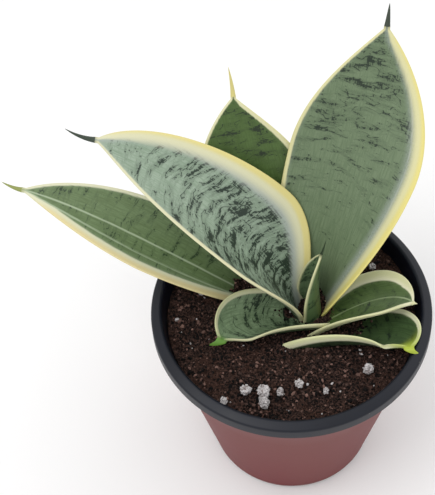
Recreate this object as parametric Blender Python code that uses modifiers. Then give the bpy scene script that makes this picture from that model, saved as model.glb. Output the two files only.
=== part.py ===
"""A young variegated snake plant in a two-tone plastic nursery pot, at its real size.

Metres, +Z up. The origin is the centre of the pot's flat underside. Dimensions below are in millimetres and are
scaled by MM where they meet Blender. Run it with: blender --background --python part.py
"""

import math

import bmesh
import bpy
import numpy as np
from mathutils import Vector

MM = 0.001
GAP = 0.3  # clearance between pieces that touch

# Pot: a thin thermoformed shell with a turned-down lip.
RIM_RADIUS = 54.0
LIP_RADIUS = 49.6
POT_HEIGHT = 89.0
BASE_RADIUS = 33.8
WALL = 1.0
LIP_DROP = 5.4
LIP_CROWN = 1.2  # how much higher the lip's inner edge is than its outer edge
LIP_ROUND = 1.2
FLOOR_ROUND = 2.5
DRAIN_HOLES = 8
DRAIN_RADIUS = 3.5
DRAIN_CIRCLE = 22.0
TURN_STEPS = 56

# Potting mix: a shallow dish a little below the lip.
SOIL_LEVEL = 82.6
SOIL_DISH = 0.8
SOIL_FLOOR = WALL + GAP

# Rhizome: a short stout stem under the leaf bases, with roots that spread down through the mix.
CROWN_CENTRE = (2.0, 2.0)
CROWN_TOP = 71.0
CROWN_RADIUS = 11.5
CROWN_LENGTH = 26.0
CROWN_CLEARANCE = 2.6  # room above the crown, so that its pocket opens into the leaves' pockets
ROOTS = 6
ROOT_RADIUS = 1.3
ROOT_POINTS = 9
ROOT_SPREAD = 17.0
ROOT_FOOT = 14.0
ROOT_RUN = 40.0  # a little less than a root's length, so that its pocket runs past its end

# Leaves. Each blade follows a Bezier midrib from root to tip: root_pull and tip_pull are its handles. face_root
# and face_tip say where the upper side looks. channel is the half angle of the trough in degrees at the root,
# middle and tip. half is the widest half-width, reached at the share `widest` of the length; a larger rise keeps
# the base narrow for longer, and a larger taper keeps the blade broad towards its tip.
LEAVES = {
    "leaf_tall_right": dict(
        root=(12, 13, 73), root_pull=(3, 7, 33), tip=(35, 69, 170), tip_pull=(-4, -20, -34),
        face_root=(-0.8, -0.6, 0.2), face_tip=(-0.1, -0.85, 0.5),
        base_half=8.0, half=26.0, widest=0.56, rise=1.0, taper=1.9, channel=(62, 24, 12), thick=2.6,
        awn=8.0, awn_bend=(0, 1, 0),
    ),
    "leaf_front_left": dict(
        root=(-2, 5.5, 73), root_pull=(-4, 2, 36), tip=(-73, 40, 141), tip_pull=(24, 0, -5),
        face_root=(0.85, 0.0, 0.5), face_tip=(0.3, -0.5, 0.8),
        base_half=5.5, half=26.5, widest=0.36, rise=1.5, taper=1.35, channel=(70, 42, 15), thick=2.6,
        awn=12.0, awn_bend=(1, 1, 3),
    ),
    "leaf_back": dict(
        root=(-4, 26, 73), root_pull=(-2, 3, 24), tip=(-22, 62, 140), tip_pull=(2, -18, -22),
        face_root=(0.3, -0.9, 0.4), face_tip=(0.1, -0.8, 0.6),
        base_half=6.0, half=22.0, widest=0.55, rise=1.0, taper=1.9, channel=(55, 25, 15), thick=2.4,
        awn=10.0, awn_bend=(-1, 0, 2),
    ),
    "leaf_low_left": dict(
        root=(-15, 15, 74), root_pull=(-12, -2, 16), tip=(-105, 39, 112), tip_pull=(30, -4, -4),
        face_root=(0.5, -0.3, 0.8), face_tip=(0.1, -0.45, 0.85),
        base_half=5.0, half=15.0, widest=0.5, rise=1.0, taper=1.7, channel=(55, 35, 20), thick=2.4,
        awn=8.0, awn_bend=(0, 1, 1.5),
    ),
    "leaf_young_spear": dict(
        root=(6, 5, 74), root_pull=(0, 0, 12), tip=(11.5, 12, 107), tip_pull=(-3, -3, -8),
        face_root=(-0.9, -0.1, 0.3), face_tip=(-0.9, -0.2, 0.2),
        base_half=4.5, half=8.0, widest=0.4, rise=1.0, taper=1.6, channel=(110, 80, 50), thick=1.6,
        awn=5.0, awn_bend=(0, 0, 2),
    ),
    "leaf_small_left": dict(
        root=(4, -6.5, 77), root_pull=(-10, -4, 3), tip=(-27, -12, 86), tip_pull=(9, 9, 3),
        face_root=(0.1, 0.5, 0.8), face_tip=(0.25, 0.0, 0.95),
        base_half=4.0, half=15.0, widest=0.66, rise=1.9, taper=2.6, channel=(60, 55, 40), thick=2.2,
        awn=2.5, awn_bend=(0, 0, -1),
    ),
    "leaf_small_right": dict(
        root=(16, -3, 78), root_pull=(8, 4, 9), tip=(46, 0, 94), tip_pull=(-8, 5, 2),
        face_root=(-0.2, 0.2, 0.95), face_tip=(-0.1, 0.2, 0.95),
        base_half=3.5, half=14.0, widest=0.58, rise=1.3, taper=2.6, channel=(60, 50, 35), thick=2.2,
        awn=1.5, awn_bend=(1, 0, 0),
    ),
    "leaf_small_front": dict(
        root=(8, -11, 75), root_pull=(12, 8, -1), tip=(44, -19, 90), tip_pull=(-7, 20, -11),
        face_root=(-0.1, 0.3, 0.95), face_tip=(0, 0.1, 0.95),
        base_half=4.0, half=13.5, widest=0.6, rise=1.2, taper=2.8, channel=(60, 40, 40), thick=2.2,
        awn=2.5, awn_bend=(1, -1, 0),
    ),
}
LEAF_STEPS = 14
LEAF_ACROSS = 8
AWN_STEPS = 3
MARGIN_SHARE = 0.3  # thickness at the margin as a share of the thickness at the midrib

# Perlite grains on the potting mix: place in x and y, and radius.
PERLITE = [
    (-17, -34, 2.0),
    (-10, -35, 2.3),
    (-10, -40, 2.2),
    (-4, -35, 1.7),
    (29, -25, 1.6),
    (3, -31, 1.4),
    (-35, 10, 1.3),
    (-25, -39, 1.3),
    (13, -34, 1.2),
    (32, 22, 1.2),
]


def unit(v):
    """The vector v at length one."""
    v = np.asarray(v, float)
    return v / np.linalg.norm(v)


def bezier(leaf, t):
    """Point and tangent of a leaf's midrib at the share t of its length."""
    a, d = np.array(leaf["root"], float), np.array(leaf["tip"], float)
    b, c = a + leaf["root_pull"], d + leaf["tip_pull"]
    s = 1 - t
    point = s**3 * a + 3 * s * s * t * b + 3 * s * t * t * c + t**3 * d
    tangent = 3 * s * s * (b - a) + 6 * s * t * (c - b) + 3 * t * t * (d - c)
    return point, unit(tangent)


def half_width(leaf, t):
    """Half-width of the blade, rising smoothly to its widest place and closing on the tip."""
    base, half, widest = leaf["base_half"], leaf["half"], leaf["widest"]
    if t < widest:
        swell = math.sin(math.pi / 2 * t / widest) ** leaf["rise"]
        return base + (half - base) * swell
    return half * (1 - ((t - widest) / (1 - widest)) ** leaf["taper"])


def channel_angle(leaf, t):
    """Half angle of the blade's trough, in radians."""
    a, b, c = (math.radians(x) for x in leaf["channel"])
    return (1 - t) * (1 - 2 * t) * a + 4 * t * (1 - t) * b + t * (2 * t - 1) * c


def ring(point, tangent, face, half, angle, thick, across, grow):
    """One closed cross-section: the upper side from margin to margin, then the lower side back."""
    side = unit(np.cross(tangent, face))
    up = np.cross(side, tangent)
    angle = max(angle, 0.02)
    upper, lower = [], []
    for i in range(across + 1):
        v = 2 * i / across - 1
        bend = v * angle
        middle = side * math.sin(bend) * half / angle + up * (1 - math.cos(bend)) * half / angle
        normal = up * math.cos(bend) - side * math.sin(bend)
        depth = thick / 2 * (MARGIN_SHARE + (1 - MARGIN_SHARE) * math.sqrt(max(0.0, 1 - v * v))) + grow
        outward = (side * math.cos(bend) + up * math.sin(bend)) * v * grow
        upper.append(point + middle + outward + normal * depth)
        lower.append(point + middle + outward - normal * depth)
    return upper + lower[::-1]


def leaf_rings(leaf, steps=LEAF_STEPS, across=LEAF_ACROSS, grow=0.0):
    """The cross-sections of a leaf from its root to the point of its awn."""
    rings = []
    for i in range(steps + 1):
        t = i / steps
        point, tangent = bezier(leaf, t)
        face = (1 - t) * unit(leaf["face_root"]) + t * unit(leaf["face_tip"])
        half = max(half_width(leaf, t), leaf["thick"] * 0.55)
        thick = leaf["thick"] * (1 - 0.25 * t)
        if i == 0:
            point = point - tangent * grow
        rings.append(ring(point, tangent, face, half, channel_angle(leaf, t), thick, across, grow))
    bend = np.array(leaf["awn_bend"], float)
    for i in range(1, AWN_STEPS + 1):
        s = i / AWN_STEPS
        end = point + tangent * leaf["awn"] * s + bend * s * s
        size = 1 - 0.8 * s
        thin = leaf["thick"] * 0.75 * size
        rings.append(ring(end, tangent, face, leaf["thick"] * 0.55 * size, 0.1, thin, across, grow * size))
    return rings


# ---- Blender objects


def clear_scene():
    """Remove every object that the scene starts with."""
    for obj in list(bpy.data.objects):
        bpy.data.objects.remove(obj, do_unlink=True)


def new_collection(name):
    """A collection of its own under the scene."""
    group = bpy.data.collections.new(name)
    bpy.context.scene.collection.children.link(group)
    return group


def material(name, colour, roughness):
    """A plain Principled material."""
    mat = bpy.data.materials.new(name)
    mat.use_nodes = True
    shader = mat.node_tree.nodes["Principled BSDF"]
    shader.inputs["Base Color"].default_value = (*colour, 1.0)
    shader.inputs["Roughness"].default_value = roughness
    shader.inputs["Metallic"].default_value = 0.0
    return mat


def add_object(name, mesh, group, mat=None):
    """An object for a mesh, or a cutter where it has no material."""
    obj = bpy.data.objects.new(name, mesh)
    group.objects.link(obj)
    if mat:
        mesh.materials.append(mat)
    else:
        obj.hide_render = True
        obj.display_type = "WIRE"
    return obj


def turned(name, profile, group, mat=None):
    """A shape turned about Z from (radius, height) points, its outer side running from top to bottom."""
    mesh = bpy.data.meshes.new(name)
    points = [(r * MM, 0.0, z * MM) for r, z in profile]
    mesh.from_pydata(points, [(i, i + 1) for i in range(len(points) - 1)], [])
    obj = add_object(name, mesh, group, mat)
    screw = obj.modifiers.new("Turn", "SCREW")
    screw.axis = "Z"
    screw.steps = TURN_STEPS
    screw.render_steps = TURN_STEPS
    screw.use_merge_vertices = True
    screw.merge_threshold = 0.00005
    return obj


def boolean(obj, cutter, operation="DIFFERENCE"):
    """Cut an object with another, or join another to it."""
    modifier = obj.modifiers.new(cutter.name, "BOOLEAN")
    modifier.operation = operation
    modifier.solver = "EXACT"
    modifier.object = cutter


def arc(centre, radius, start, end, count):
    """Points of an arc in the (radius, height) plane, from the start angle to the end angle in degrees."""
    angles = np.radians(np.linspace(start, end, count))
    return [(centre[0] + radius * math.cos(a), centre[1] + radius * math.sin(a)) for a in angles]


def wall_radius(z):
    """Inside radius of the pot's wall at a height."""
    low, high = WALL + FLOOR_ROUND, POT_HEIGHT + LIP_CROWN - LIP_ROUND
    foot = BASE_RADIUS - WALL
    return foot + (LIP_RADIUS - foot) * (z - low) / (high - low)


def soil_height(radius):
    """Height of the potting mix at a distance from the axis."""
    edge = wall_radius(SOIL_LEVEL) - GAP
    return SOIL_LEVEL - SOIL_DISH * (1 - (radius / edge) ** 2)


def build_pot(group, cutters, mat):
    """One sheet, formed up the wall, over the lip and down the collar, then thickened away from its inner face."""
    top = POT_HEIGHT + LIP_CROWN
    profile = [(0.0, WALL)]
    profile += arc((BASE_RADIUS - WALL - FLOOR_ROUND, WALL + FLOOR_ROUND), FLOOR_ROUND, -90, 0, 4)
    profile += arc((LIP_RADIUS + LIP_ROUND, top - LIP_ROUND), LIP_ROUND, 180, 80, 5)
    profile += arc((RIM_RADIUS - LIP_ROUND, POT_HEIGHT - LIP_ROUND), LIP_ROUND, 72, 0, 4)
    profile.append((RIM_RADIUS, POT_HEIGHT - LIP_DROP))
    pot = turned("pot", profile, group, mat)
    sheet = pot.modifiers.new("Sheet", "SOLIDIFY")
    sheet.thickness = WALL * MM
    sheet.offset = -1.0
    sheet.use_even_offset = True

    bm = bmesh.new()
    for i in range(DRAIN_HOLES):
        angle = 2 * math.pi * i / DRAIN_HOLES
        place = Vector((DRAIN_CIRCLE * math.cos(angle), DRAIN_CIRCLE * math.sin(angle), 0.0)) * MM
        drill = bmesh.ops.create_cone(
            bm, cap_ends=True, segments=20, radius1=DRAIN_RADIUS * MM, radius2=DRAIN_RADIUS * MM,
            depth=4 * WALL * MM,
        )
        bmesh.ops.translate(bm, verts=drill["verts"], vec=place)
    mesh = bpy.data.meshes.new("drain_holes")
    bm.to_mesh(mesh)
    bm.free()
    boolean(pot, add_object("drain_holes", mesh, cutters))
    return pot


def build_soil(group, mat):
    """The potting mix, clear of the pot's wall and floor all round."""
    edge = wall_radius(SOIL_LEVEL) - GAP
    profile = [(r, soil_height(r)) for r in np.linspace(0.0, edge, 6)]
    foot = wall_radius(SOIL_FLOOR + FLOOR_ROUND) - GAP
    profile.append((foot, SOIL_FLOOR + FLOOR_ROUND))
    profile.append((foot - FLOOR_ROUND, SOIL_FLOOR))
    profile.append((0.0, SOIL_FLOOR))
    return turned("soil", profile, group, mat)


def crown_profile(grow, above):
    """The stem's outline: a blunt top, a full shoulder and a long taper to its foot."""
    outline = [(0.0, CROWN_TOP + above)]
    for share, width in ((0.0, 0.72), (0.07, 0.92), (0.2, 1.0), (0.45, 0.86), (0.75, 0.5), (0.95, 0.22)):
        lift = above if share == 0.0 else 0.0
        outline.append((CROWN_RADIUS * width + grow, CROWN_TOP - CROWN_LENGTH * share + lift))
    outline.append((0.0, CROWN_TOP - CROWN_LENGTH - grow))
    return outline


def root_mesh(name, grow):
    """All the roots in one mesh: tapering tubes that wander outward and down from the crown."""
    curve = bpy.data.curves.new(name, "CURVE")
    curve.dimensions = "3D"
    curve.bevel_depth = MM
    curve.bevel_resolution = 2
    curve.use_fill_caps = True
    for i in range(ROOTS):
        spline = curve.splines.new("POLY")
        spline.points.add(ROOT_POINTS - 1)
        heading = 2 * math.pi * (i + 0.3) / ROOTS
        for k, point in enumerate(spline.points):
            s = k / (ROOT_POINTS - 1) * (1 + grow / ROOT_RUN)
            reach = 3.0 + ROOT_SPREAD * s**0.7
            turn = heading + 0.25 * math.sin(5 * s + 1.7 * i)
            start = CROWN_TOP - 0.4 * CROWN_LENGTH - 1.2 * (i % 3)
            height = start + (ROOT_FOOT + 3.0 * (i % 2) - start) * s**1.2
            point.co = (reach * math.cos(turn) * MM, reach * math.sin(turn) * MM, height * MM, 1.0)
            point.radius = ROOT_RADIUS * (1 - 0.5 * s) + grow
    guide = bpy.data.objects.new(name, curve)
    bpy.context.scene.collection.objects.link(guide)
    graph = bpy.context.evaluated_depsgraph_get()
    mesh = bpy.data.meshes.new_from_object(guide.evaluated_get(graph))
    bpy.data.objects.remove(guide)
    bm = bmesh.new()
    bm.from_mesh(mesh)
    bmesh.ops.remove_doubles(bm, verts=bm.verts, dist=0.00001)
    bmesh.ops.recalc_face_normals(bm, faces=bm.faces)
    bm.to_mesh(mesh)
    bm.free()
    return mesh


def place_crown(obj):
    """Move a shape that was made about the axis to the middle of the rosette."""
    obj.location = (CROWN_CENTRE[0] * MM, CROWN_CENTRE[1] * MM, 0.0)
    return obj


def build_rhizome(group, cutters, mat):
    """The stem joined with its roots."""
    rhizome = place_crown(turned("rhizome", crown_profile(0.0, 0.0), group, mat))
    roots = place_crown(add_object("roots", root_mesh("roots", 0.0), cutters))
    boolean(rhizome, roots, "UNION")
    return rhizome


def rhizome_pockets(cutters):
    """The space that the stem and the roots take up in the potting mix."""
    stem = turned("crown_pocket", crown_profile(GAP, CROWN_CLEARANCE), cutters)
    roots = add_object("root_pocket", root_mesh("root_pocket", GAP), cutters)
    return [place_crown(stem), place_crown(roots)]


def leaf_mesh(name, leaf, grow=0.0):
    """A blade lofted through its cross-sections, closed at the root and at the point of the awn."""
    rings = leaf_rings(leaf, grow=grow)
    count = len(rings[0])
    bm = bmesh.new()
    rows = [[bm.verts.new(Vector(p) * MM) for p in ring_points] for ring_points in rings]
    for low, high in zip(rows, rows[1:]):
        for j in range(count):
            k = (j + 1) % count
            bm.faces.new((low[j], low[k], high[k], high[j]))
    for row in (rows[0], rows[-1]):
        for j in range(LEAF_ACROSS):
            bm.faces.new((row[j], row[j + 1], row[count - 2 - j], row[count - 1 - j]))
    bmesh.ops.recalc_face_normals(bm, faces=bm.faces)
    mesh = bpy.data.meshes.new(name)
    bm.to_mesh(mesh)
    bm.free()
    mesh.shade_smooth()
    mesh.set_sharp_from_angle(angle=math.radians(50))
    return mesh


def build_grain(name, place, size, seed, group, mat):
    """A lump of perlite, resting on the potting mix."""
    noise = np.random.default_rng(seed)
    bm = bmesh.new()
    bmesh.ops.create_icosphere(bm, subdivisions=2, radius=size * MM)
    stretch = 1 + 0.25 * noise.uniform(-1, 1, 3)
    for vert in bm.verts:
        lump = 1 + 0.16 * noise.uniform(-1, 1)
        vert.co = Vector(vert.co[i] * stretch[i] * lump for i in range(3))
    lowest = min(vert.co.z for vert in bm.verts)
    mesh = bpy.data.meshes.new(name)
    bm.to_mesh(mesh)
    bm.free()
    obj = add_object(name, mesh, group, mat)
    rest = soil_height(math.hypot(*place) + size) + GAP
    obj.location = (place[0] * MM, place[1] * MM, rest * MM - lowest)
    return obj


def main():
    clear_scene()
    plant = new_collection("potted_snake_plant")
    cutters = new_collection("cutters")
    build_pot(plant, cutters, material("pot", (0.22, 0.10, 0.095), 0.5))
    soil = build_soil(plant, material("soil", (0.035, 0.022, 0.017), 0.95))
    build_rhizome(plant, cutters, material("rhizome", (0.55, 0.36, 0.20), 0.7))
    for pocket in rhizome_pockets(cutters):
        boolean(soil, pocket)
    for name, leaf in LEAVES.items():
        colour = material(name, (0.12, 0.20, 0.11), 0.4)
        add_object(name, leaf_mesh(name, leaf), plant, colour)
        boolean(soil, add_object(name + "_pocket", leaf_mesh(name + "_pocket", leaf, GAP), cutters))
    for i, (x, y, size) in enumerate(PERLITE):
        name = f"perlite_{i + 1}"
        build_grain(name, (x, y), size, i, plant, material(name, (0.72, 0.71, 0.68), 0.85))


main()
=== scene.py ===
"""Looks for the potted variegated snake plant: blades, pot, potting mix, perlite, light and camera.

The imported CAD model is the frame. Lengths are in millimetres until MM turns them into Blender's metres.
"""

import math

import bmesh
import bpy
import numpy as np
from mathutils import Matrix, Vector, noise


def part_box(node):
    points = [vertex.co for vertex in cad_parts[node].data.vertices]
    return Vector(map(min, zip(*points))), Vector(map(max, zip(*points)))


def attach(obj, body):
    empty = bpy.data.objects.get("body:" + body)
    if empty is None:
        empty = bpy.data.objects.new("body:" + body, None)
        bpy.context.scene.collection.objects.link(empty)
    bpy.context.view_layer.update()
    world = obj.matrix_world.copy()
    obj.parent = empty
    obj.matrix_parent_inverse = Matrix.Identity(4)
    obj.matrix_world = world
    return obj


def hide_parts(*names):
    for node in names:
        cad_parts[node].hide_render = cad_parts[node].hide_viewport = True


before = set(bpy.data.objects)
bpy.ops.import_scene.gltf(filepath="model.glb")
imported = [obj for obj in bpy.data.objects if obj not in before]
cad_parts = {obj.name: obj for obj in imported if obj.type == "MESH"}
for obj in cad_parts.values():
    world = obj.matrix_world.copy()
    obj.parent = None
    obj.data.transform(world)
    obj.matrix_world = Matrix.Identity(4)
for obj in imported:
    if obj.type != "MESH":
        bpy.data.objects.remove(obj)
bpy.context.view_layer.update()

MM = 0.001
UP = np.array((0.0, 0.0, 1.0))

# Pot. The rim's radius and the lip's height come from the frame.
LIP_RADIUS = 49.6  # inside radius at the lip
WALL = 1.0
LIP_DROP = 5.4  # height of the collar
LIP_CROWN = 1.2  # fall of the lip from its inner edge to the collar
LIP_ROUND = 1.2
EDGE_ROUND = 0.3  # bevel at the collar's lower edge
FOLD_REACH = 0.6  # bevel where the lip leaves the wall and the collar, under the fold
FOLD_DROP = 0.4
FLOOR_ROUND = 2.5
BASE_RADIUS = 33.8
DRAIN_HOLES = 8
DRAIN_RADIUS = 3.5
DRAIN_CIRCLE = 22.0
POT_STEPS = 192
RIM_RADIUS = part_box("pot")[1].x / MM
LIP_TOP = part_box("pot")[1].z / MM

# Potting mix
SOIL_LEVEL = 82.6
SOIL_DISH = 0.8  # how much lower the middle lies than the edge
SOIL_SWELL = 0.7
LUMP_DEPTH = 1.5
CRUMB_DEPTH = 0.9
SOIL_LIFT = 1.2  # makes up for the hollows between lumps and crumbs
SOIL_FLOOR = 1.3
SOIL_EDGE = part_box("soil")[1].x / MM
SOIL_RINGS = 150
SOIL_STEPS = 480
CRUMBS = 4600
FIBRES = 1700
DUST = 46

# Blades. root and tip are the ends of the midrib, a Bezier curve, and the pulls lead to its inner control
# points. face is the way the upper side looks at each end. The half-width grows from base_half to half at
# the share widest of the length, with the sharpness rise, and closes on the tip with the sharpness taper.
# channel is the half angle of the trough, in degrees, at the root, the middle and the tip. awn is the
# length of the awn, tip_half the half-width of its foot, awn_bend how far its end bends away, and a small
# awn_taper makes it blunt. The bases in the crown wrap round each other more closely than in the CAD,
# where they stand apart.
LEAVES = {
    "leaf_tall_right": dict(
        root=(10.5, 12.5, 72), root_pull=(3, 7, 34), tip=(35, 69, 170), tip_pull=(-4, -20, -34),
        face_root=(-0.8, -0.6, 0.2), face_tip=(-0.1, -0.85, 0.5),
        base_half=10.0, half=26.0, widest=0.56, rise=0.6, taper=1.9, channel=(85, 24, 12), thick=2.6,
        tip_half=0.9, awn=8.0, awn_taper=0.8, awn_bend=(0, 1, 0),
    ),
    "leaf_front_left": dict(
        root=(3, 3, 75), root_pull=(-4, 3, 34), tip=(-73, 40, 141), tip_pull=(24, 0, -5),
        face_root=(0.85, 0.0, 0.5), face_tip=(0.3, -0.5, 0.8),
        base_half=5.5, half=26.5, widest=0.36, rise=1.8, taper=1.35, channel=(70, 42, 15), thick=2.6,
        tip_half=0.9, awn=12.0, awn_taper=0.8, awn_bend=(1, 1, 3),
    ),
    "leaf_back": dict(
        root=(-4, 26, 73), root_pull=(-2, 3, 24), tip=(-22, 62, 140), tip_pull=(2, -18, -22),
        face_root=(0.3, -0.9, 0.4), face_tip=(0.1, -0.8, 0.6),
        base_half=6.0, half=22.0, widest=0.55, rise=1.0, taper=1.9, channel=(55, 25, 15), thick=2.4,
        tip_half=0.8, awn=10.0, awn_taper=0.8, awn_bend=(-1, 0, 2),
    ),
    "leaf_low_left": dict(
        root=(-15, 15, 74), root_pull=(-12, -2, 16), tip=(-105, 39, 112), tip_pull=(30, -4, -4),
        face_root=(0.5, -0.3, 0.8), face_tip=(0.1, -0.45, 0.85),
        base_half=5.0, half=15.0, widest=0.5, rise=1.0, taper=1.7, channel=(55, 35, 20), thick=2.4,
        tip_half=0.8, awn=8.0, awn_taper=0.8, awn_bend=(0, 1, 1.5),
    ),
    "leaf_young_spear": dict(
        root=(11.5, 3.5, 77), root_pull=(-1, 0, 10), tip=(11.5, 12, 107), tip_pull=(-3, -3, -8),
        face_root=(-0.9, -0.1, 0.3), face_tip=(-0.9, -0.2, 0.2),
        base_half=11.0, half=10.0, widest=0.35, rise=1.0, taper=1.6, channel=(110, 90, 50), thick=1.6,
        tip_half=0.5, awn=5.0, awn_taper=0.8, awn_bend=(0, 0, 2),
    ),
    "leaf_small_left": dict(
        root=(14, -0.5, 78.5), root_pull=(-12, -1, 2), tip=(-26.5, -14.5, 87), tip_pull=(2, 12, -3),
        face_root=(0.1, 0.35, 0.85), face_tip=(0.35, 0.1, 0.9),
        base_half=5.0, half=14.5, widest=0.56, rise=0.4, taper=2.3, channel=(62, 66, 45), thick=2.2,
        tip_half=1.9, awn=2.5, awn_taper=0.45, awn_bend=(-4, 1, -1.5),
    ),
    "leaf_small_right": dict(
        root=(4, -7, 74.5), root_pull=(11, 5, 8), tip=(46, -3, 96), tip_pull=(-10, 8, -5),
        face_root=(-0.1, 0.5, 0.83), face_tip=(-0.1, 0.2, 0.95),
        base_half=4.0, half=15.0, widest=0.6, rise=1.6, taper=2.6, channel=(60, 50, 35), thick=2.2,
        tip_half=0.8, awn=0.8, awn_taper=0.8, awn_bend=(1, 0, 0),
    ),
    "leaf_small_front": dict(
        root=(-10, -13.5, 75.5), root_pull=(14, 1.5, 5), tip=(44, -20, 91), tip_pull=(2, 14, -8),
        face_root=(0, 0.9, 0.5), face_tip=(-0.2, 0.2, 0.95),
        base_half=1.2, half=14.0, widest=0.64, rise=1.2, taper=2.8, channel=(60, 60, 45), thick=2.2,
        tip_half=1.9, awn=3.5, awn_taper=0.35, awn_bend=(3.5, 1, -2),
    ),
}
BLADE_STEPS = 120
BLADE_ACROSS = 52
AWN_STEPS = 10
EDGE_STEPS = 3
MARGIN_SHARE = 0.3  # thickness at the margin, as a share of the thickness at the midrib
MARGIN_LIMIT = 0.4  # widest cream margin, as a share of the half-width
THINNING = 0.25  # share of the thickness lost by the tip
AWN_THICK = 0.6  # thickness of the awn's foot, as a share of the blade's
AWN_ANGLE = 0.1  # half angle of the awn's trough, in radians
FLATTEST = 0.02  # smallest half angle of the trough, in radians
NO_LINE = 10.0  # distance from the nearest pale line where there is none
BAND_ROUNDING = 20.0  # rounds the cross-bands where they turn at the midrib, in square millimetres
BAND_SWAY = 7.0  # how far the cross-bands wander along the blade
SEED_STEP = 20.0  # how far apart the patterns of two blades lie

# Finishes of the blades, with colours as sRGB out of 255. margin and band are the millimetres of cream
# margin and of the paler zone inside it, on the blade's left and right as its upper side is seen from the
# root, and fade is the share that both lose by the tip. soft is how many millimetres more the right
# margin takes to fade into the paler zone. cross is the amount of dark cross-banding, tip_cross how much
# it grows towards the tip, and chevron its slant. lines are pale lengthwise streaks at shares of the
# half-width, and specks the strength of dark specks. The blade turns to the awn's colour from the share
# tip_from of its length.
LOOKS = {
    "leaf_tall_right": dict(
        ground=(95, 114, 84), light=(113, 131, 100), dark=(24, 40, 26), cream=(214, 210, 160),
        outer=(224, 212, 128), pale=(156, 164, 158), margin=(1.6, 4.6), band=(0.8, 7.0), fade=0.62,
        cross=0.40, chevron=0.1, tip_cross=0.22, lines=(0.80,), awn=(52, 62, 50), under=(90, 108, 84),
        specks=0.9, soft=2.6, tip_from=0.985,
    ),
    "leaf_front_left": dict(
        ground=(124, 144, 122), light=(156, 173, 154), dark=(20, 38, 26), cream=(214, 212, 176),
        outer=(220, 208, 136), pale=(172, 176, 174), margin=(1.3, 5.6), band=(1.0, 8.0), fade=0.75,
        cross=1.05, chevron=0.4, tip_cross=-0.18, lines=(), awn=(52, 64, 52), under=(104, 124, 98),
        specks=0.7, soft=4.0, tip_from=0.985,
    ),
    # The back blade's deep, saturated green is its own green darkened by painted shade and deepened by
    # painted light shining through the blade.
    "leaf_back": dict(
        ground=(62, 86, 34), light=(78, 104, 50), dark=(24, 40, 16), cream=(214, 212, 170),
        outer=(208, 202, 144), pale=(104, 128, 82), margin=(1.1, 2.6), band=(0.6, 1.0), fade=0.4,
        cross=0.62, chevron=0.1, tip_cross=0.05, lines=(), awn=(206, 196, 124), under=(70, 94, 52),
        specks=0.4, soft=0.0, tip_from=0.985,
    ),
    "leaf_low_left": dict(
        ground=(88, 108, 66), light=(108, 130, 88), dark=(38, 58, 32), cream=(216, 216, 184),
        outer=(222, 208, 154), pale=(160, 176, 144), margin=(4.4, 1.2), band=(1.0, 0.6), fade=0.45,
        cross=0.44, chevron=0.15, tip_cross=0.0, lines=(-0.12, -0.55), awn=(142, 150, 80),
        under=(80, 102, 62), specks=0.2, soft=0.0, tip_from=0.975,
    ),
    "leaf_young_spear": dict(
        ground=(84, 106, 72), light=(108, 130, 96), dark=(30, 48, 32), cream=(206, 206, 160),
        outer=(198, 194, 132), pale=(128, 146, 110), margin=(0.5, 0.7), band=(0.3, 0.3), fade=0.3,
        cross=0.70, chevron=0.5, tip_cross=0.1, lines=(), awn=(40, 58, 36), under=(76, 98, 62),
        specks=0.5, soft=0.0, tip_from=0.93,
    ),
    "leaf_small_left": dict(
        ground=(96, 118, 86), light=(142, 164, 128), dark=(24, 40, 26), cream=(214, 214, 176),
        outer=(198, 198, 142), pale=(114, 132, 102), margin=(1.4, 1.8), band=(0.5, 0.6), fade=0.2,
        cross=1.05, chevron=0.5, tip_cross=-0.1, lines=(), awn=(96, 140, 52), under=(58, 78, 48),
        specks=0.8, soft=0.0, tip_from=0.92,
    ),
    "leaf_small_right": dict(
        ground=(61, 82, 40), light=(83, 106, 57), dark=(26, 42, 22), cream=(222, 220, 188),
        outer=(214, 214, 168), pale=(140, 156, 116), margin=(4.4, 3.2), band=(0.8, 0.8), fade=0.1,
        cross=0.60, chevron=0.4, tip_cross=0.0, lines=(-0.1,), awn=(208, 208, 162), under=(72, 92, 54),
        specks=0.4, soft=0.0, tip_from=0.98,
    ),
    # The small front blade's ground and light colours are darkened as painted shade, for the shadow of the
    # small right blade lying in its cup.
    "leaf_small_front": dict(
        ground=(48, 68, 37), light=(70, 94, 54), dark=(20, 36, 20), cream=(222, 222, 188),
        outer=(212, 214, 164), pale=(136, 154, 110), margin=(1.6, 2.6), band=(0.5, 0.5), fade=0.05,
        cross=0.60, chevron=0.4, tip_cross=0.0, lines=(), awn=(170, 186, 62), under=(50, 66, 42),
        specks=0.5, soft=0.0, tip_from=0.86,
    ),
}

# Camera: it looks down on the rim's centre from in front, then turns a little off it.
CAMERA_DISTANCE = 0.540
CAMERA_HEIGHT = math.radians(57.0)
CAMERA_PAN = math.radians(-3.0)
CAMERA_TILT = math.radians(2.4)
CAMERA_ROLL = math.radians(-4.2)
CAMERA_LENS = 102.0


# ---- Materials


def srgb(red, green, blue):
    """A colour given out of 255, as the linear values that shaders use."""
    shares = (red / 255, green / 255, blue / 255)
    return tuple(((c + 0.055) / 1.055) ** 2.4 if c > 0.04045 else c / 12.92 for c in shares)


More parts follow.
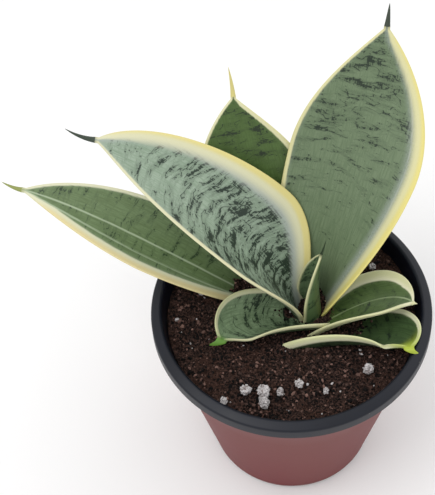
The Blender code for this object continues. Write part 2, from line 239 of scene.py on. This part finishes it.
class Paint:
    """A material's nodes, with short calls that each add a node and return its output."""

    def __init__(self, name, roughness=0.5, specular=0.5):
        self.material = bpy.data.materials.new(name)
        self.material.use_nodes = True
        self.tree = self.material.node_tree
        self.shader = self.tree.nodes["Principled BSDF"]
        self.set("Roughness", roughness)
        self.set("Specular IOR Level", specular)

    def put(self, socket, value):
        """Link a socket to an output, or set its own value."""
        if isinstance(value, bpy.types.NodeSocket):
            self.tree.links.new(value, socket)
        elif socket.type == "RGBA":
            socket.default_value = (*value, 1.0)
        else:
            socket.default_value = value

    def set(self, name, value):
        """Feed a socket of the surface shader."""
        self.put(self.shader.inputs[name], value)

    def node(self, kind, inputs, output=0, **settings):
        """Add a node, and return one of its outputs."""
        made = self.tree.nodes.new("ShaderNode" + kind)
        for key, value in settings.items():
            setattr(made, key, value)
        for key, value in inputs.items():
            self.put(made.inputs[key], value)
        return made.outputs[output]

    def attribute(self, name):
        """The three parts of a vector attribute."""
        vector = self.node("Attribute", {}, "Vector", attribute_name=name)
        return [self.node("SeparateXYZ", {0: vector}, axis) for axis in "XYZ"]

    def tone(self, name):
        """A single-value attribute."""
        return self.node("Attribute", {}, "Fac", attribute_name=name)

    def vector(self, x, y, z=0.0):
        """A vector made of three values."""
        return self.node("CombineXYZ", {"X": x, "Y": y, "Z": z})

    def math(self, operation, a, b=0.0, c=0.0):
        """One arithmetic step."""
        return self.node("Math", {0: a, 1: b, 2: c}, operation=operation)

    def noise(self, vector, scale=1.0, detail=3.0, roughness=0.55, distortion=0.0):
        """Fractal noise, about 0.5 on average."""
        inputs = {"Vector": vector, "Scale": scale, "Detail": detail, "Roughness": roughness,
                  "Distortion": distortion}
        return self.node("TexNoise", inputs, "Fac")

    def weave(self, across, along, seed, detail, roughness=0.55):
        """Noise on a blade: across and along each hold an output, in millimetres, and its features per mm."""
        scaled = [self.math("MULTIPLY", value, density) for value, density in (across, along)]
        return self.noise(self.vector(*scaled, seed), 1.0, detail, roughness)

    def step(self, value, low, high):
        """A soft step from 0 at low to 1 at high."""
        inputs = {"Value": value, "From Min": low, "From Max": high}
        return self.node("MapRange", inputs, interpolation_type="SMOOTHSTEP")

    def mix(self, share, a, b):
        """A blend of two colours."""
        return self.node("Mix", {0: share, 6: a, 7: b}, 2, data_type="RGBA")

    def bump(self, height, distance, strength=1.0):
        """Fine relief on the surface, with its depth in metres."""
        self.set("Normal", self.node("Bump", {"Height": height, "Distance": distance, "Strength": strength}))

    def place(self, scale):
        """Object coordinates, counted in features of one over scale metres."""
        coordinates = self.node("TexCoord", {}, "Object")
        return self.node("Mapping", {"Vector": coordinates, "Scale": (scale,) * 3})


def blade_paint(name, look, seed):
    """A variegated blade: cream margins, a paler zone inside them, and a mottled, cross-banded centre."""
    p = Paint(name, specular=0.42)
    x, s, along = p.attribute("place")
    edge, inner, line = p.attribute("margin")
    side = p.tone("side")
    drift = p.weave((x, 0.05), (s, 0.05), seed, 2.0)
    streaks = p.weave((x, 1.5), (s, 0.12), seed, 5.0, 0.65)
    grain = p.weave((x, 2.4), (s, 1.3), seed, 4.0, 0.7)

    # Cross-bands: noise drawn out across the blade, slanted back from the midrib and broken along its fibres.
    # The peaks make the blotches, and the contour lines of a broader noise make the thin wavy veins.
    off_midrib = p.math("SQRT", p.math("MULTIPLY_ADD", x, x, BAND_ROUNDING))
    slant = p.math("MULTIPLY", off_midrib, look["chevron"])
    sway = p.math("MULTIPLY", drift, BAND_SWAY)
    down = p.math("ADD", p.math("ADD", s, slant), sway)
    bands = p.weave((x, 0.10), (down, 0.38), seed + 3.0, 5.0, 0.6)
    waves = p.weave((x, 0.11), (down, 0.26), seed + 9.0, 2.0, 0.5)
    fine = p.weave((x, 0.7), (down, 1.3), seed + 5.0, 4.0, 0.7)
    fibrous = p.math("MULTIPLY", p.math("SUBTRACT", streaks, 0.5), 0.34)
    uneven = p.math("MULTIPLY", p.math("SUBTRACT", drift, 0.5), 0.25)
    towards_tip = p.math("MULTIPLY", p.math("SUBTRACT", along, 0.5), look["tip_cross"])
    level = p.math("ADD", p.math("MULTIPLY", bands, 0.76), p.math("MULTIPLY", fine, 0.24))
    level = p.math("ADD", p.math("ADD", level, fibrous), p.math("ADD", uneven, towards_tip))
    start = 0.68 - 0.13 * look["cross"]
    blotches = p.step(level, start, start + 0.03)
    contour = p.math("ABSOLUTE", p.math("SUBTRACT", waves, 0.5))
    contour = p.math("ADD", contour, p.math("MULTIPLY", p.math("SUBTRACT", fine, 0.5), 0.05))
    present = p.step(level, start - 0.12, start - 0.04)
    veins = p.math("MULTIPLY", p.math("SUBTRACT", 1.0, p.step(contour, 0.006, 0.022)), present)
    specks = p.math("MULTIPLY", p.step(grain, 0.64, 0.69), look["specks"])
    mottle = p.math("MAXIMUM", p.math("MAXIMUM", blotches, veins), specks)

    ground = p.mix(p.step(streaks, 0.3, 0.7), srgb(*look["ground"]), srgb(*look["light"]))
    shade = p.mix(p.step(grain, 0.35, 0.75), srgb(*look["dark"]), srgb(*look["ground"]))
    ground = p.mix(p.math("MULTIPLY", p.step(level, start - 0.14, start), 0.4), ground, shade)
    centre = p.mix(p.math("MULTIPLY", mottle, 0.96), ground, srgb(*look["dark"]))

    # The paler zone, the cream margin and its yellower rim, with fibres running across their borders.
    ragged = p.math("MULTIPLY", p.math("SUBTRACT", streaks, 0.5), 1.6)
    pale = p.mix(p.step(grain, 0.2, 0.9), srgb(*look["pale"]), srgb(*look["light"]))
    inside = p.step(p.math("ADD", inner, p.math("MULTIPLY", ragged, 2.2)), -3.0, 1.2)
    surface = p.mix(inside, pale, centre)
    streak = p.step(p.math("ADD", line, p.math("MULTIPLY", ragged, 0.4)), 0.1, 0.6)
    surface = p.mix(streak, srgb(*look["pale"]), surface)
    cream = p.mix(p.step(edge, -2.6, -0.4), srgb(*look["outer"]), srgb(*look["cream"]))
    cream = p.mix(p.math("MULTIPLY", p.step(grain, 0.55, 0.8), 0.25), cream, srgb(*look["light"]))
    soft = p.node("MapRange", {"Value": x, "From Max": 5.0, "To Min": 0.45, "To Max": 0.45 + look["soft"]})
    within = p.step(p.math("ADD", edge, p.math("MULTIPLY", ragged, 0.5)), -0.35, soft)
    surface = p.mix(within, cream, surface)

    # The underside is plainer, and the awn dries to its own colour.
    under = p.mix(p.step(level, 0.5, 0.62), srgb(*look["under"]), srgb(*look["dark"]))
    under = p.mix(p.step(edge, -0.6, 0.6), cream, under)
    surface = p.mix(p.step(side, 0.35, 0.65), under, surface)
    surface = p.mix(p.step(along, look["tip_from"], 1.02), surface, srgb(*look["awn"]))
    p.set("Base Color", surface)
    p.set("Roughness", p.node("MapRange", {"Value": grain, "To Min": 0.36, "To Max": 0.56}))
    p.bump(p.math("ADD", p.math("MULTIPLY", streaks, 0.7), p.math("MULTIPLY", grain, 0.3)), 0.00022, 0.5)
    return p.material


def black_plastic():
    """Satin black polypropylene with a fine grain, faint scuffs and a little dust; its blue tint is a painted
    reflection of the sky.
    """
    p = Paint("pot_black", specular=0.36)
    place = p.place(1000.0)
    grain = p.noise(place, 1.6, 4.0, 0.6)
    cloud = p.noise(place, 0.05, 3.0, 0.6)
    scuff = p.step(p.noise(place, 0.42, 6.0, 0.75, 1.2), 0.70, 0.76)
    dust = p.step(p.noise(place, 0.75, 2.0, 0.5), 0.78, 0.80)
    # The blue in these two blacks is a painted reflection of the sky, not a colour of the plastic.
    colour = p.mix(cloud, srgb(5, 8, 17), srgb(14, 19, 34))
    colour = p.mix(p.math("MULTIPLY", scuff, 0.35), colour, srgb(74, 76, 82))
    p.set("Base Color", p.mix(p.math("MULTIPLY", dust, 0.8), colour, srgb(168, 160, 150)))
    p.set("Roughness", p.node("MapRange", {"Value": cloud, "To Min": 0.34, "To Max": 0.52}))
    p.bump(grain, 0.00006, 0.5)
    return p.material


def terracotta_plastic():
    """Matte terracotta-coloured plastic, slightly uneven, and darker and redder towards the bottom."""
    p = Paint("pot_terracotta", specular=0.25)
    place = p.place(1000.0)
    grain = p.noise(place, 1.2, 4.0, 0.6)
    cloud = p.noise(place, 0.035, 3.0, 0.55)
    height = p.node("SeparateXYZ", {0: place}, "Z")
    # Darker and redder towards the bottom, lighter towards the top.
    towards_top = p.step(height, 0.0, 85.0)
    colour = p.mix(towards_top, srgb(108, 34, 37), srgb(112, 57, 55))
    colour = p.mix(p.math("MULTIPLY", p.step(cloud, 0.35, 0.7), 0.5), colour, srgb(116, 64, 61))
    speck = p.step(p.noise(place, 0.9, 3.0, 0.6), 0.72, 0.76)
    p.set("Base Color", p.mix(p.math("MULTIPLY", speck, 0.3), colour, srgb(96, 60, 54)))
    p.set("Roughness", p.node("MapRange", {"Value": cloud, "To Min": 0.46, "To Max": 0.62}))
    p.bump(grain, 0.00005, 0.5)
    return p.material


def soil_paint():
    """Dark peat with browner flecks."""
    p = Paint("potting_mix", 0.95, 0.2)
    place = p.place(1000.0)
    fleck = p.noise(place, 1.1, 6.0, 0.75)
    patch = p.noise(place, 0.09, 3.0, 0.6)
    colour = p.mix(p.step(fleck, 0.42, 0.64), srgb(2, 2, 2), srgb(90, 66, 58))
    colour = p.mix(p.math("MULTIPLY", p.step(patch, 0.45, 0.7), 0.4), colour, srgb(78, 52, 42))
    p.set("Base Color", colour)
    p.bump(fleck, 0.0010, 1.0)
    return p.material


def crumb_paint(name, dark, light):
    """Peat crumbs and fibres: each takes its own tone between two browns."""
    p = Paint(name, 0.92, 0.25)
    fleck = p.noise(p.place(1000.0), 2.0, 4.0, 0.6)
    share = p.math("ADD", p.tone("tone"), p.math("MULTIPLY", p.math("SUBTRACT", fleck, 0.5), 0.8))
    p.set("Base Color", p.mix(p.step(share, 0.0, 1.0), srgb(*dark), srgb(*light)))
    p.bump(fleck, 0.0002, 0.6)
    return p.material


def perlite_paint():
    """Chalky white volcanic glass with grey pits and smudges of peat."""
    p = Paint("perlite", 0.85, 0.3)
    place = p.place(1000.0)
    pits = p.noise(place, 1.5, 5.0, 0.7)
    smudge = p.step(p.noise(place, 0.5, 3.0, 0.6), 0.50, 0.62)
    colour = p.mix(p.step(pits, 0.32, 0.56), srgb(90, 82, 80), srgb(206, 202, 202))
    p.set("Base Color", p.mix(p.math("MULTIPLY", smudge, 0.6), colour, srgb(104, 86, 80)))
    p.bump(pits, 0.0003, 0.8)
    return p.material


def root_paint():
    """The tan, ringed skin of the stem and its roots."""
    p = Paint("rhizome_skin", 0.75, 0.3)
    place = p.place(1000.0)
    rings = p.noise(p.node("Mapping", {"Vector": place, "Scale": (0.15, 0.15, 1.2)}), 1.0, 4.0, 0.6)
    p.set("Base Color", p.mix(p.step(rings, 0.35, 0.65), srgb(150, 108, 64), srgb(208, 172, 122)))
    p.bump(rings, 0.0004, 0.6)
    return p.material


# ---- Shapes


def show(name, mesh, materials, replaces=()):
    """Put a mesh in the scene as a piece that stands for CAD nodes and takes its finish from a slot."""
    obj = bpy.data.objects.new(name, mesh)
    bpy.context.scene.collection.objects.link(obj)
    for mat in materials:
        mesh.materials.append(mat)
    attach(obj, "root")
    if replaces:
        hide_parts(*replaces)
    return obj


def unit(v):
    """The vector v at length one."""
    return v / np.linalg.norm(v)


def midrib(leaf, t):
    """Point and tangent of a blade's midrib at the share t of its length."""
    a, d = np.array(leaf["root"], float), np.array(leaf["tip"], float)
    b, c = a + leaf["root_pull"], d + leaf["tip_pull"]
    s = 1 - t
    point = s**3 * a + 3 * s * s * t * b + 3 * s * t * t * c + t**3 * d
    return point, unit(3 * s * s * (b - a) + 6 * s * t * (c - b) + 3 * t * t * (d - c))


def half_width(leaf, t):
    """Half-width of the blade, rising smoothly to its widest place and closing on the tip."""
    if t < leaf["widest"]:
        swell = math.sin(math.pi / 2 * t / leaf["widest"]) ** leaf["rise"]
        return leaf["base_half"] + (leaf["half"] - leaf["base_half"]) * swell
    return leaf["half"] * (1 - ((t - leaf["widest"]) / (1 - leaf["widest"])) ** leaf["taper"])


def channel_angle(leaf, t):
    """Half angle of the blade's trough, in radians."""
    a, b, c = (math.radians(x) for x in leaf["channel"])
    return (1 - t) * (1 - 2 * t) * a + 4 * t * (1 - t) * b + t * (2 * t - 1) * c


def cross_section(point, tangent, face, half, angle, thick):
    """A closed section with rounded margins: rows of x, y, z, the share across, and 1 on the upper side."""
    side = unit(np.cross(tangent, face))
    up = np.cross(side, tangent)
    angle = max(angle, FLATTEST)

    def trough(v):
        """The middle of the blade's thickness at the share v across, its normal and its outward direction."""
        bend = v * angle
        middle = point + side * math.sin(bend) * half / angle + up * (1 - math.cos(bend)) * half / angle
        normal = up * math.cos(bend) - side * math.sin(bend)
        return middle, normal, (side * math.cos(bend) + up * math.sin(bend)) * v

    def rounding(v):
        """The margin's round edge, from the upper side to the lower."""
        middle, normal, outward = trough(v)
        rows = []
        for k in range(EDGE_STEPS):
            turn = math.pi * (k + 1) / (EDGE_STEPS + 1)
            reach = thick / 2 * MARGIN_SHARE * (normal * math.cos(turn) + outward * math.sin(turn))
            rows.append((*(middle + reach), v, 0.5 + 0.5 * math.cos(turn)))
        return rows

    upper, lower = [], []
    for v in np.sin(np.linspace(-math.pi / 2, math.pi / 2, BLADE_ACROSS + 1)):
        middle, normal, _ = trough(v)
        depth = thick / 2 * (MARGIN_SHARE + (1 - MARGIN_SHARE) * math.sqrt(max(0.0, 1 - v * v)))
        upper.append((*(middle + normal * depth), v, 1.0))
        lower.append((*(middle - normal * depth), v, 0.0))

    return upper + rounding(1.0) + lower[::-1] + rounding(-1.0)[::-1]


def blade_sections(leaf):
    """Every section of a blade and its awn, with the share along, the length along and the half-width."""
    sections, facts = [], []
    length, before = 0.0, np.array(leaf["root"], float)
    face_root, face_tip = (unit(np.array(leaf[key], float)) for key in ("face_root", "face_tip"))
    for i in range(BLADE_STEPS + 1):
        t = math.sin(math.pi / 2 * i / BLADE_STEPS) ** 1.15
        point, tangent = midrib(leaf, t)
        length += np.linalg.norm(point - before)
        before = point
        face = (1 - t) * face_root + t * face_tip
        half = max(half_width(leaf, t), leaf["tip_half"])
        thick = leaf["thick"] * (1 - THINNING * t)
        sections.append(cross_section(point, tangent, face, half, channel_angle(leaf, t), thick))
        facts.append((t, length, half))
    bend = np.array(leaf["awn_bend"], float)
    for i in range(1, AWN_STEPS + 1):
        s = i / AWN_STEPS
        size = (1 - s) ** leaf["awn_taper"] * 0.95 + 0.05
        end = point + tangent * leaf["awn"] * s + bend * s * s
        half = leaf["tip_half"] * size
        sections.append(cross_section(end, tangent, face, half, AWN_ANGLE, leaf["thick"] * AWN_THICK * size))
        facts.append((1 + s, length + leaf["awn"] * s, half))
    return np.array(sections), np.array(facts)


def build_blade(name, leaf, look, seed):
    """One leaf, with attributes that tell its material where it is on the blade."""
    sections, facts = blade_sections(leaf)
    rows, count = sections.shape[:2]
    index = np.arange(rows * count).reshape(rows, count)
    after = np.roll(index, -1, axis=1)
    faces = np.stack([index[:-1], after[:-1], after[1:], index[1:]], -1).reshape(-1, 4).tolist()
    faces.append(index[0, ::-1].tolist())
    faces.append(index[-1].tolist())
    mesh = bpy.data.meshes.new(name)
    mesh.from_pydata((sections[..., :3].reshape(-1, 3) * MM).tolist(), [], faces)

    across, upper = sections[..., 3], sections[..., 4]
    along, length, half = (np.repeat(facts[:, k:k + 1], count, 1) for k in range(3))
    narrowing = 1 - look["fade"] * np.clip(along, 0, 1)
    left, right = (1 + across) * half, (1 - across) * half
    cream = [np.minimum(width * narrowing, half * MARGIN_LIMIT) for width in look["margin"]]
    edges = (left - cream[0], right - cream[1])
    inner = np.minimum(edges[0] - look["band"][0] * narrowing, edges[1] - look["band"][1] * narrowing)
    line = np.full_like(across, NO_LINE)
    for share in look["lines"]:
        line = np.minimum(line, abs(across - share) * half)
    set_vectors(mesh, "place", across * half, length, along)
    set_vectors(mesh, "margin", np.minimum(*edges), inner, line)
    set_values(mesh, "side", upper)
    finish_mesh(mesh, 60)
    return show(name, mesh, [blade_paint(name, look, seed)], [name])


def set_vectors(mesh, name, x, y, z):
    """Store three values on each vertex."""
    layer = mesh.attributes.new(name, "FLOAT_VECTOR", "POINT")
    layer.data.foreach_set("vector", np.stack([x, y, z], -1).astype(np.float32).ravel())


def set_values(mesh, name, values):
    """Store one value on each vertex."""
    layer = mesh.attributes.new(name, "FLOAT", "POINT")
    layer.data.foreach_set("value", np.asarray(values, np.float32).ravel())


def finish_mesh(mesh, sharp_angle):
    """Outward normals and smooth shading, apart from sharp edges."""
    bm = bmesh.new()
    bm.from_mesh(mesh)
    bmesh.ops.recalc_face_normals(bm, faces=bm.faces)
    bm.to_mesh(mesh)
    bm.free()
    mesh.shade_smooth()
    mesh.set_sharp_from_angle(angle=math.radians(sharp_angle))


def arc(centre, radius, start, end, count):
    """Points of an arc in the (radius, height) plane, from the start angle to the end angle in degrees."""
    angles = np.radians(np.linspace(start, end, count))
    return [(centre[0] + radius * math.cos(a), centre[1] + radius * math.sin(a)) for a in angles]


def lathe(name, profile, steps):
    """A closed solid turned about Z from a profile that starts and ends on the axis."""
    turns = np.linspace(0, 2 * math.pi, steps, endpoint=False)
    ring = np.array(profile[1:-1])
    points = np.empty((len(ring), steps, 3))
    points[..., 0] = ring[:, :1] * np.cos(turns)
    points[..., 1] = ring[:, :1] * np.sin(turns)
    points[..., 2] = ring[:, 1:]
    index = np.arange(len(ring) * steps).reshape(len(ring), steps)
    after = np.roll(index, -1, axis=1)
    faces = np.stack([index[:-1], index[1:], after[1:], after[:-1]], -1).reshape(-1, 4).tolist()
    poles = len(ring) * steps
    faces += [[int(a), int(b), poles] for a, b in zip(index[0], after[0])]
    faces += [[int(b), int(a), poles + 1] for a, b in zip(index[-1], after[-1])]
    ends = [(0.0, 0.0, profile[0][1]), (0.0, 0.0, profile[-1][1])]
    mesh = bpy.data.meshes.new(name)
    mesh.from_pydata((np.vstack([points.reshape(-1, 3), ends]) * MM).tolist(), [], faces)
    return mesh


def wall_radius(z):
    """Inside radius of the pot's wall at a height."""
    low, high = WALL + FLOOR_ROUND, LIP_TOP - LIP_ROUND
    foot = BASE_RADIUS - WALL
    return foot + (LIP_RADIUS - foot) * (z - low) / (high - low)


def build_pot():
    """The two-tone shell: black inside, over the lip and down the collar, and terracotta outside."""
    shoulder = LIP_TOP - LIP_CROWN
    foot = BASE_RADIUS - WALL - FLOOR_ROUND
    black = [(0.0, WALL), (foot * 0.5, WALL)]
    black += arc((foot, WALL + FLOOR_ROUND), FLOOR_ROUND, -90, 0, 9)
    black += [(wall_radius(z), z) for z in (25.0, 50.0, 75.0)]
    black += arc((LIP_RADIUS + LIP_ROUND, LIP_TOP - LIP_ROUND), LIP_ROUND, 180, 80, 9)
    black += arc((RIM_RADIUS - LIP_ROUND, shoulder - LIP_ROUND), LIP_ROUND, 76, 0, 9)
    collar = shoulder - LIP_DROP
    black += [(RIM_RADIUS, collar + EDGE_ROUND), (RIM_RADIUS - EDGE_ROUND, collar)]
    under = shoulder - WALL - FOLD_REACH
    terracotta = [(RIM_RADIUS - WALL, collar), (RIM_RADIUS - WALL, under - FOLD_DROP)]
    terracotta += [(RIM_RADIUS - WALL - FOLD_REACH, under), (wall_radius(under) + WALL + FOLD_REACH, under)]
    terracotta += [(wall_radius(z) + WALL, z) for z in (under - 2 * FOLD_DROP, 60.0, 40.0, 20.0, 6.0)]
    terracotta += arc((foot, WALL + FLOOR_ROUND), FLOOR_ROUND + WALL, 0, -90, 9)
    terracotta += [(foot * 0.5, 0.0), (0.0, 0.0)]
    mesh = lathe("pot", black + terracotta, POT_STEPS)
    finish_mesh(mesh, 40)
    pot = show("pot", mesh, [black_plastic(), terracotta_plastic()], ["pot"])
    # Terracotta is the floor's underside and what lies outside the wall, inside the collar and below the lip.
    for face in mesh.polygons:
        middle = face.center / MM
        radius = math.hypot(middle.x, middle.y)
        beyond_wall = radius > wall_radius(middle.z) + WALL * 0.6
        inside_collar = radius <= RIM_RADIUS - WALL * 0.6 and middle.z <= under + 0.1
        face.material_index = int((beyond_wall and inside_collar) or middle.z < WALL * 0.5)
    drill_holes(pot)
    return pot


def drill_holes(pot):
    """Cut the drain holes through the pot's floor."""
    bm = bmesh.new()
    for i in range(DRAIN_HOLES):
        angle = 2 * math.pi * i / DRAIN_HOLES
        place = Vector((DRAIN_CIRCLE * math.cos(angle), DRAIN_CIRCLE * math.sin(angle), 0.0)) * MM
        drill = bmesh.ops.create_cone(
            bm, cap_ends=True, segments=40, radius1=DRAIN_RADIUS * MM, radius2=DRAIN_RADIUS * MM,
            depth=4 * WALL * MM,
        )
        bmesh.ops.translate(bm, verts=drill["verts"], vec=place)
    mesh = bpy.data.meshes.new("drain_holes")
    bm.to_mesh(mesh)
    bm.free()
    cutter = bpy.data.objects.new("drain_holes", mesh)
    bpy.context.scene.collection.objects.link(cutter)
    cut = pot.modifiers.new("Drain holes", "BOOLEAN")
    cut.operation = "DIFFERENCE"
    cut.solver = "EXACT"
    cut.object = cutter
    graph = bpy.context.evaluated_depsgraph_get()
    drilled = bpy.data.meshes.new_from_object(pot.evaluated_get(graph))
    pot.modifiers.remove(cut)
    bpy.data.objects.remove(cutter)
    pot.data = drilled


def crumbly(x, y):
    """Height of the potting mix at a place, crumbs and hollows included."""
    radius = math.hypot(x, y)
    level = SOIL_LEVEL - SOIL_DISH * (1 - (radius / SOIL_EDGE) ** 2)
    broad = noise.noise(Vector((x * 0.09, y * 0.09, 4.0)))
    lumps = noise.voronoi(Vector((x * 0.42, y * 0.42, 1.0)))[0][0]
    crumbs = noise.voronoi(Vector((x * 1.1, y * 1.1, 8.0)))[0][0]
    return level + SOIL_SWELL * broad - LUMP_DEPTH * lumps - CRUMB_DEPTH * crumbs + SOIL_LIFT


def build_soil(paint):
    """The potting mix: a crumbly top on a solid that fills the pot."""
    profile = [(0.0, SOIL_LEVEL)]
    profile += [(SOIL_EDGE * k / SOIL_RINGS, SOIL_LEVEL) for k in range(1, SOIL_RINGS + 1)]
    foot = wall_radius(SOIL_FLOOR + FLOOR_ROUND) - 0.3
    profile += [(foot, SOIL_FLOOR + FLOOR_ROUND), (foot - FLOOR_ROUND, SOIL_FLOOR), (0.0, SOIL_FLOOR)]
    mesh = lathe("soil", profile, SOIL_STEPS)
    for vert in mesh.vertices:
        if vert.co.z > (SOIL_LEVEL - 1.0) * MM:
            vert.co.z = crumbly(vert.co.x / MM, vert.co.y / MM) * MM
    finish_mesh(mesh, 60)
    return show("soil", mesh, [paint], ["soil"])


def scatter(random, count, reach):
    """Places spread evenly over the potting mix."""
    radius = reach * np.sqrt(random.uniform(0, 1, count))
    angle = random.uniform(0, 2 * math.pi, count)
    return radius * np.cos(angle), radius * np.sin(angle)


def lump(random, size, subdivisions, rough):
    """Vertices and faces of one irregular lump about the origin."""
    bm = bmesh.new()
    bmesh.ops.create_icosphere(bm, subdivisions=subdivisions, radius=size)
    points = np.array([v.co for v in bm.verts])
    faces = np.array([[v.index for v in f.verts] for f in bm.faces])
    bm.free()
    points *= 1 + rough * random.uniform(-1, 1, (len(points), 1))
    points *= 1 + 0.5 * random.uniform(-1, 1, 3)
    turn = Matrix.Rotation(random.uniform(0, 6.28), 3, "X") @ Matrix.Rotation(random.uniform(0, 6.28), 3, "Z")
    return points @ np.array(turn), faces


def joined(name, parts, tones, sharp_angle):
    """One mesh from many small shapes, each with its own tone."""
    points, faces, values, start = [], [], [], 0
    for (part_points, part_faces), tone in zip(parts, tones):
        points.append(part_points)
        faces += (part_faces + start).tolist()
        values += [tone] * len(part_points)
        start += len(part_points)
    mesh = bpy.data.meshes.new(name)
    mesh.from_pydata((np.vstack(points) * MM).tolist(), [], faces)
    set_values(mesh, "tone", values)
    finish_mesh(mesh, sharp_angle)
    return mesh


def build_crumbs():
    """Loose crumbs of peat and bark on the potting mix."""
    random = np.random.default_rng(11)
    sizes = 0.26 + 0.5 * random.uniform(0, 1, CRUMBS) ** 3
    parts = []
    for x, y, size in zip(*scatter(random, CRUMBS, SOIL_EDGE - 1.5), sizes):
        points, faces = lump(random, size, 1, 0.25)
        parts.append((points + (x, y, crumbly(x, y) + 0.3 * size), faces))
    tones = random.uniform(0, 1, CRUMBS) ** 3
    mesh = joined("soil_crumbs", parts, tones, 30)
    return show("soil_crumbs", mesh, [crumb_paint("peat_crumbs", (2, 2, 2), (132, 102, 92))])


def fibre(random, x, y):
    """A short bent strand lying on the potting mix."""
    length, heading = random.uniform(0.6, 2.4), random.uniform(0, 2 * math.pi)
    curl, lift = random.uniform(-0.8, 0.8), random.uniform(0.0, 0.5)
    thick = random.uniform(0.08, 0.17)
    points = []
    for s in np.linspace(-0.5, 0.5, 5):
        turn = heading + curl * s
        place = np.array((x + length * s * math.cos(turn), y + length * s * math.sin(turn)))
        place *= min(1.0, (SOIL_EDGE - 0.8) / np.linalg.norm(place))
        height = crumbly(*place) + 0.25 + lift * (0.5 + s)
        across = np.array((-math.sin(turn), math.cos(turn), 0.0))
        size = thick * (1 - 0.8 * abs(s))
        for k in range(3):
            a = 2 * math.pi * k / 3
            points.append(np.array((*place, height)) + size * (across * math.cos(a) + UP * math.sin(a)))
    faces = [[3 * i + k, 3 * i + (k + 1) % 3, 3 * i + 3 + (k + 1) % 3, 3 * i + 3 + k]
             for i in range(4) for k in range(3)]
    return np.array(points), faces


def build_fibres():
    """Strands of coir and fine bark, redder than the peat."""
    random = np.random.default_rng(12)
    parts = []
    for x, y in zip(*scatter(random, FIBRES, SOIL_EDGE - 2.0)):
        points, faces = fibre(random, x, y)
        parts.append((points, np.array(faces)))
    mesh = joined("soil_fibres", parts, random.uniform(0, 1, FIBRES), 60)
    return show("soil_fibres", mesh, [crumb_paint("coir_fibres", (9, 6, 6), (96, 68, 58))])


def build_grain(node, paint, seed):
    """A pitted grain of perlite in the place of its CAD node."""
    low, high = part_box(node)
    middle, size = (low + high) / 2, (high - low) / 2
    bm = bmesh.new()
    bmesh.ops.create_icosphere(bm, subdivisions=4, radius=1.0)
    for vert in bm.verts:
        spot = vert.co * 1.6 + Vector((seed * 7.0, 0.0, 0.0))
        dents = noise.voronoi(spot)[0][0] * 0.8 + 0.22 * noise.fractal(spot * 3.0, 1.0, 2.0, 4)
        vert.co = middle + Vector(vert.co[i] * size[i] for i in range(3)) * (0.5 + dents)
    mesh = bpy.data.meshes.new(node)
    bm.to_mesh(mesh)
    bm.free()
    finish_mesh(mesh, 50)
    return show(node, mesh, [paint], [node])


def build_dust(paint):
    """Bits of perlite too small for a node of their own."""
    random = np.random.default_rng(13)
    parts = []
    for x, y in zip(*scatter(random, DUST, SOIL_EDGE - 3.0)):
        size = 0.28 + 0.6 * random.uniform(0, 1) ** 3
        points, faces = lump(random, size, 2, 0.12)
        parts.append((points + (x, y, crumbly(x, y) + 0.4 * size), faces))
    mesh = joined("perlite_dust", parts, [1.0] * DUST, 30)
    return show("perlite_dust", mesh, [paint])


# ---- Floor, light and camera


def build_stage():
    """A plain pale floor under soft studio light."""
    mesh = bpy.data.meshes.new("floor")
    reach = 4.0
    corners = [(-reach, -reach, 0), (reach, -reach, 0), (reach, reach, 0), (-reach, reach, 0)]
    mesh.from_pydata(corners, [], [(0, 1, 2, 3)])
    floor = bpy.data.objects.new("floor", mesh)
    bpy.context.scene.collection.objects.link(floor)
    p = Paint("floor", 0.9, 0.1)
    p.set("Base Color", (0.94, 0.94, 0.94))
    mesh.materials.append(p.material)

    world = bpy.data.worlds.new("studio")
    world.use_nodes = True
    world.node_tree.nodes["Background"].inputs["Color"].default_value = (1.0, 1.0, 1.0, 1.0)
    world.node_tree.nodes["Background"].inputs["Strength"].default_value = 0.9
    bpy.context.scene.world = world
    for name, place, size, power in (
        ("key", (-0.5, -0.35, 1.3), 0.7, 5.0),
        ("fill", (0.9, 0.5, 1.0), 1.0, 2.0),
    ):
        lamp = bpy.data.lights.new(name, "AREA")
        lamp.size = size
        lamp.energy = power
        light = bpy.data.objects.new(name, lamp)
        light.location = place
        light.rotation_mode = "QUATERNION"
        light.rotation_quaternion = (-Vector(place)).to_track_quat("-Z", "Y")
        bpy.context.scene.collection.objects.link(light)
    bpy.context.scene.view_settings.view_transform = "Standard"


def build_camera():
    """The camera in front of the plant, above the rim."""
    rim = Vector((0.0, 0.0, (LIP_TOP - LIP_CROWN) * MM))
    back = Vector((0.0, -math.cos(CAMERA_HEIGHT), math.sin(CAMERA_HEIGHT)))
    side = Vector((1.0, 0.0, 0.0))
    above = side.cross(-back)
    forward = (-back + math.tan(CAMERA_PAN) * side + math.tan(CAMERA_TILT) * above).normalized()
    right = forward.cross(Vector(UP)).normalized()
    top = right.cross(forward)
    level, lean = math.cos(CAMERA_ROLL), math.sin(CAMERA_ROLL)
    columns = (level * right + lean * top, level * top - lean * right, -forward)
    data = bpy.data.cameras.new("camera")
    data.lens = CAMERA_LENS
    camera = bpy.data.objects.new("camera", data)
    turn = Matrix(columns).transposed().to_4x4()
    camera.matrix_world = Matrix.Translation(rim + back * CAMERA_DISTANCE) @ turn
    bpy.context.scene.collection.objects.link(camera)
    bpy.context.scene.camera = camera


build_pot()
build_soil(soil_paint())
build_crumbs()
build_fibres()
for number, (leaf_name, leaf_shape) in enumerate(LEAVES.items()):
    build_blade(leaf_name, leaf_shape, LOOKS[leaf_name], SEED_STEP * number)
white = perlite_paint()
for number, node_name in enumerate(sorted(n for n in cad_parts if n.startswith("perlite"))):
    build_grain(node_name, white, number)
build_dust(white)
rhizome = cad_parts["rhizome"]
rhizome.data.materials.clear()
rhizome.data.materials.append(root_paint())
build_stage()
build_camera()
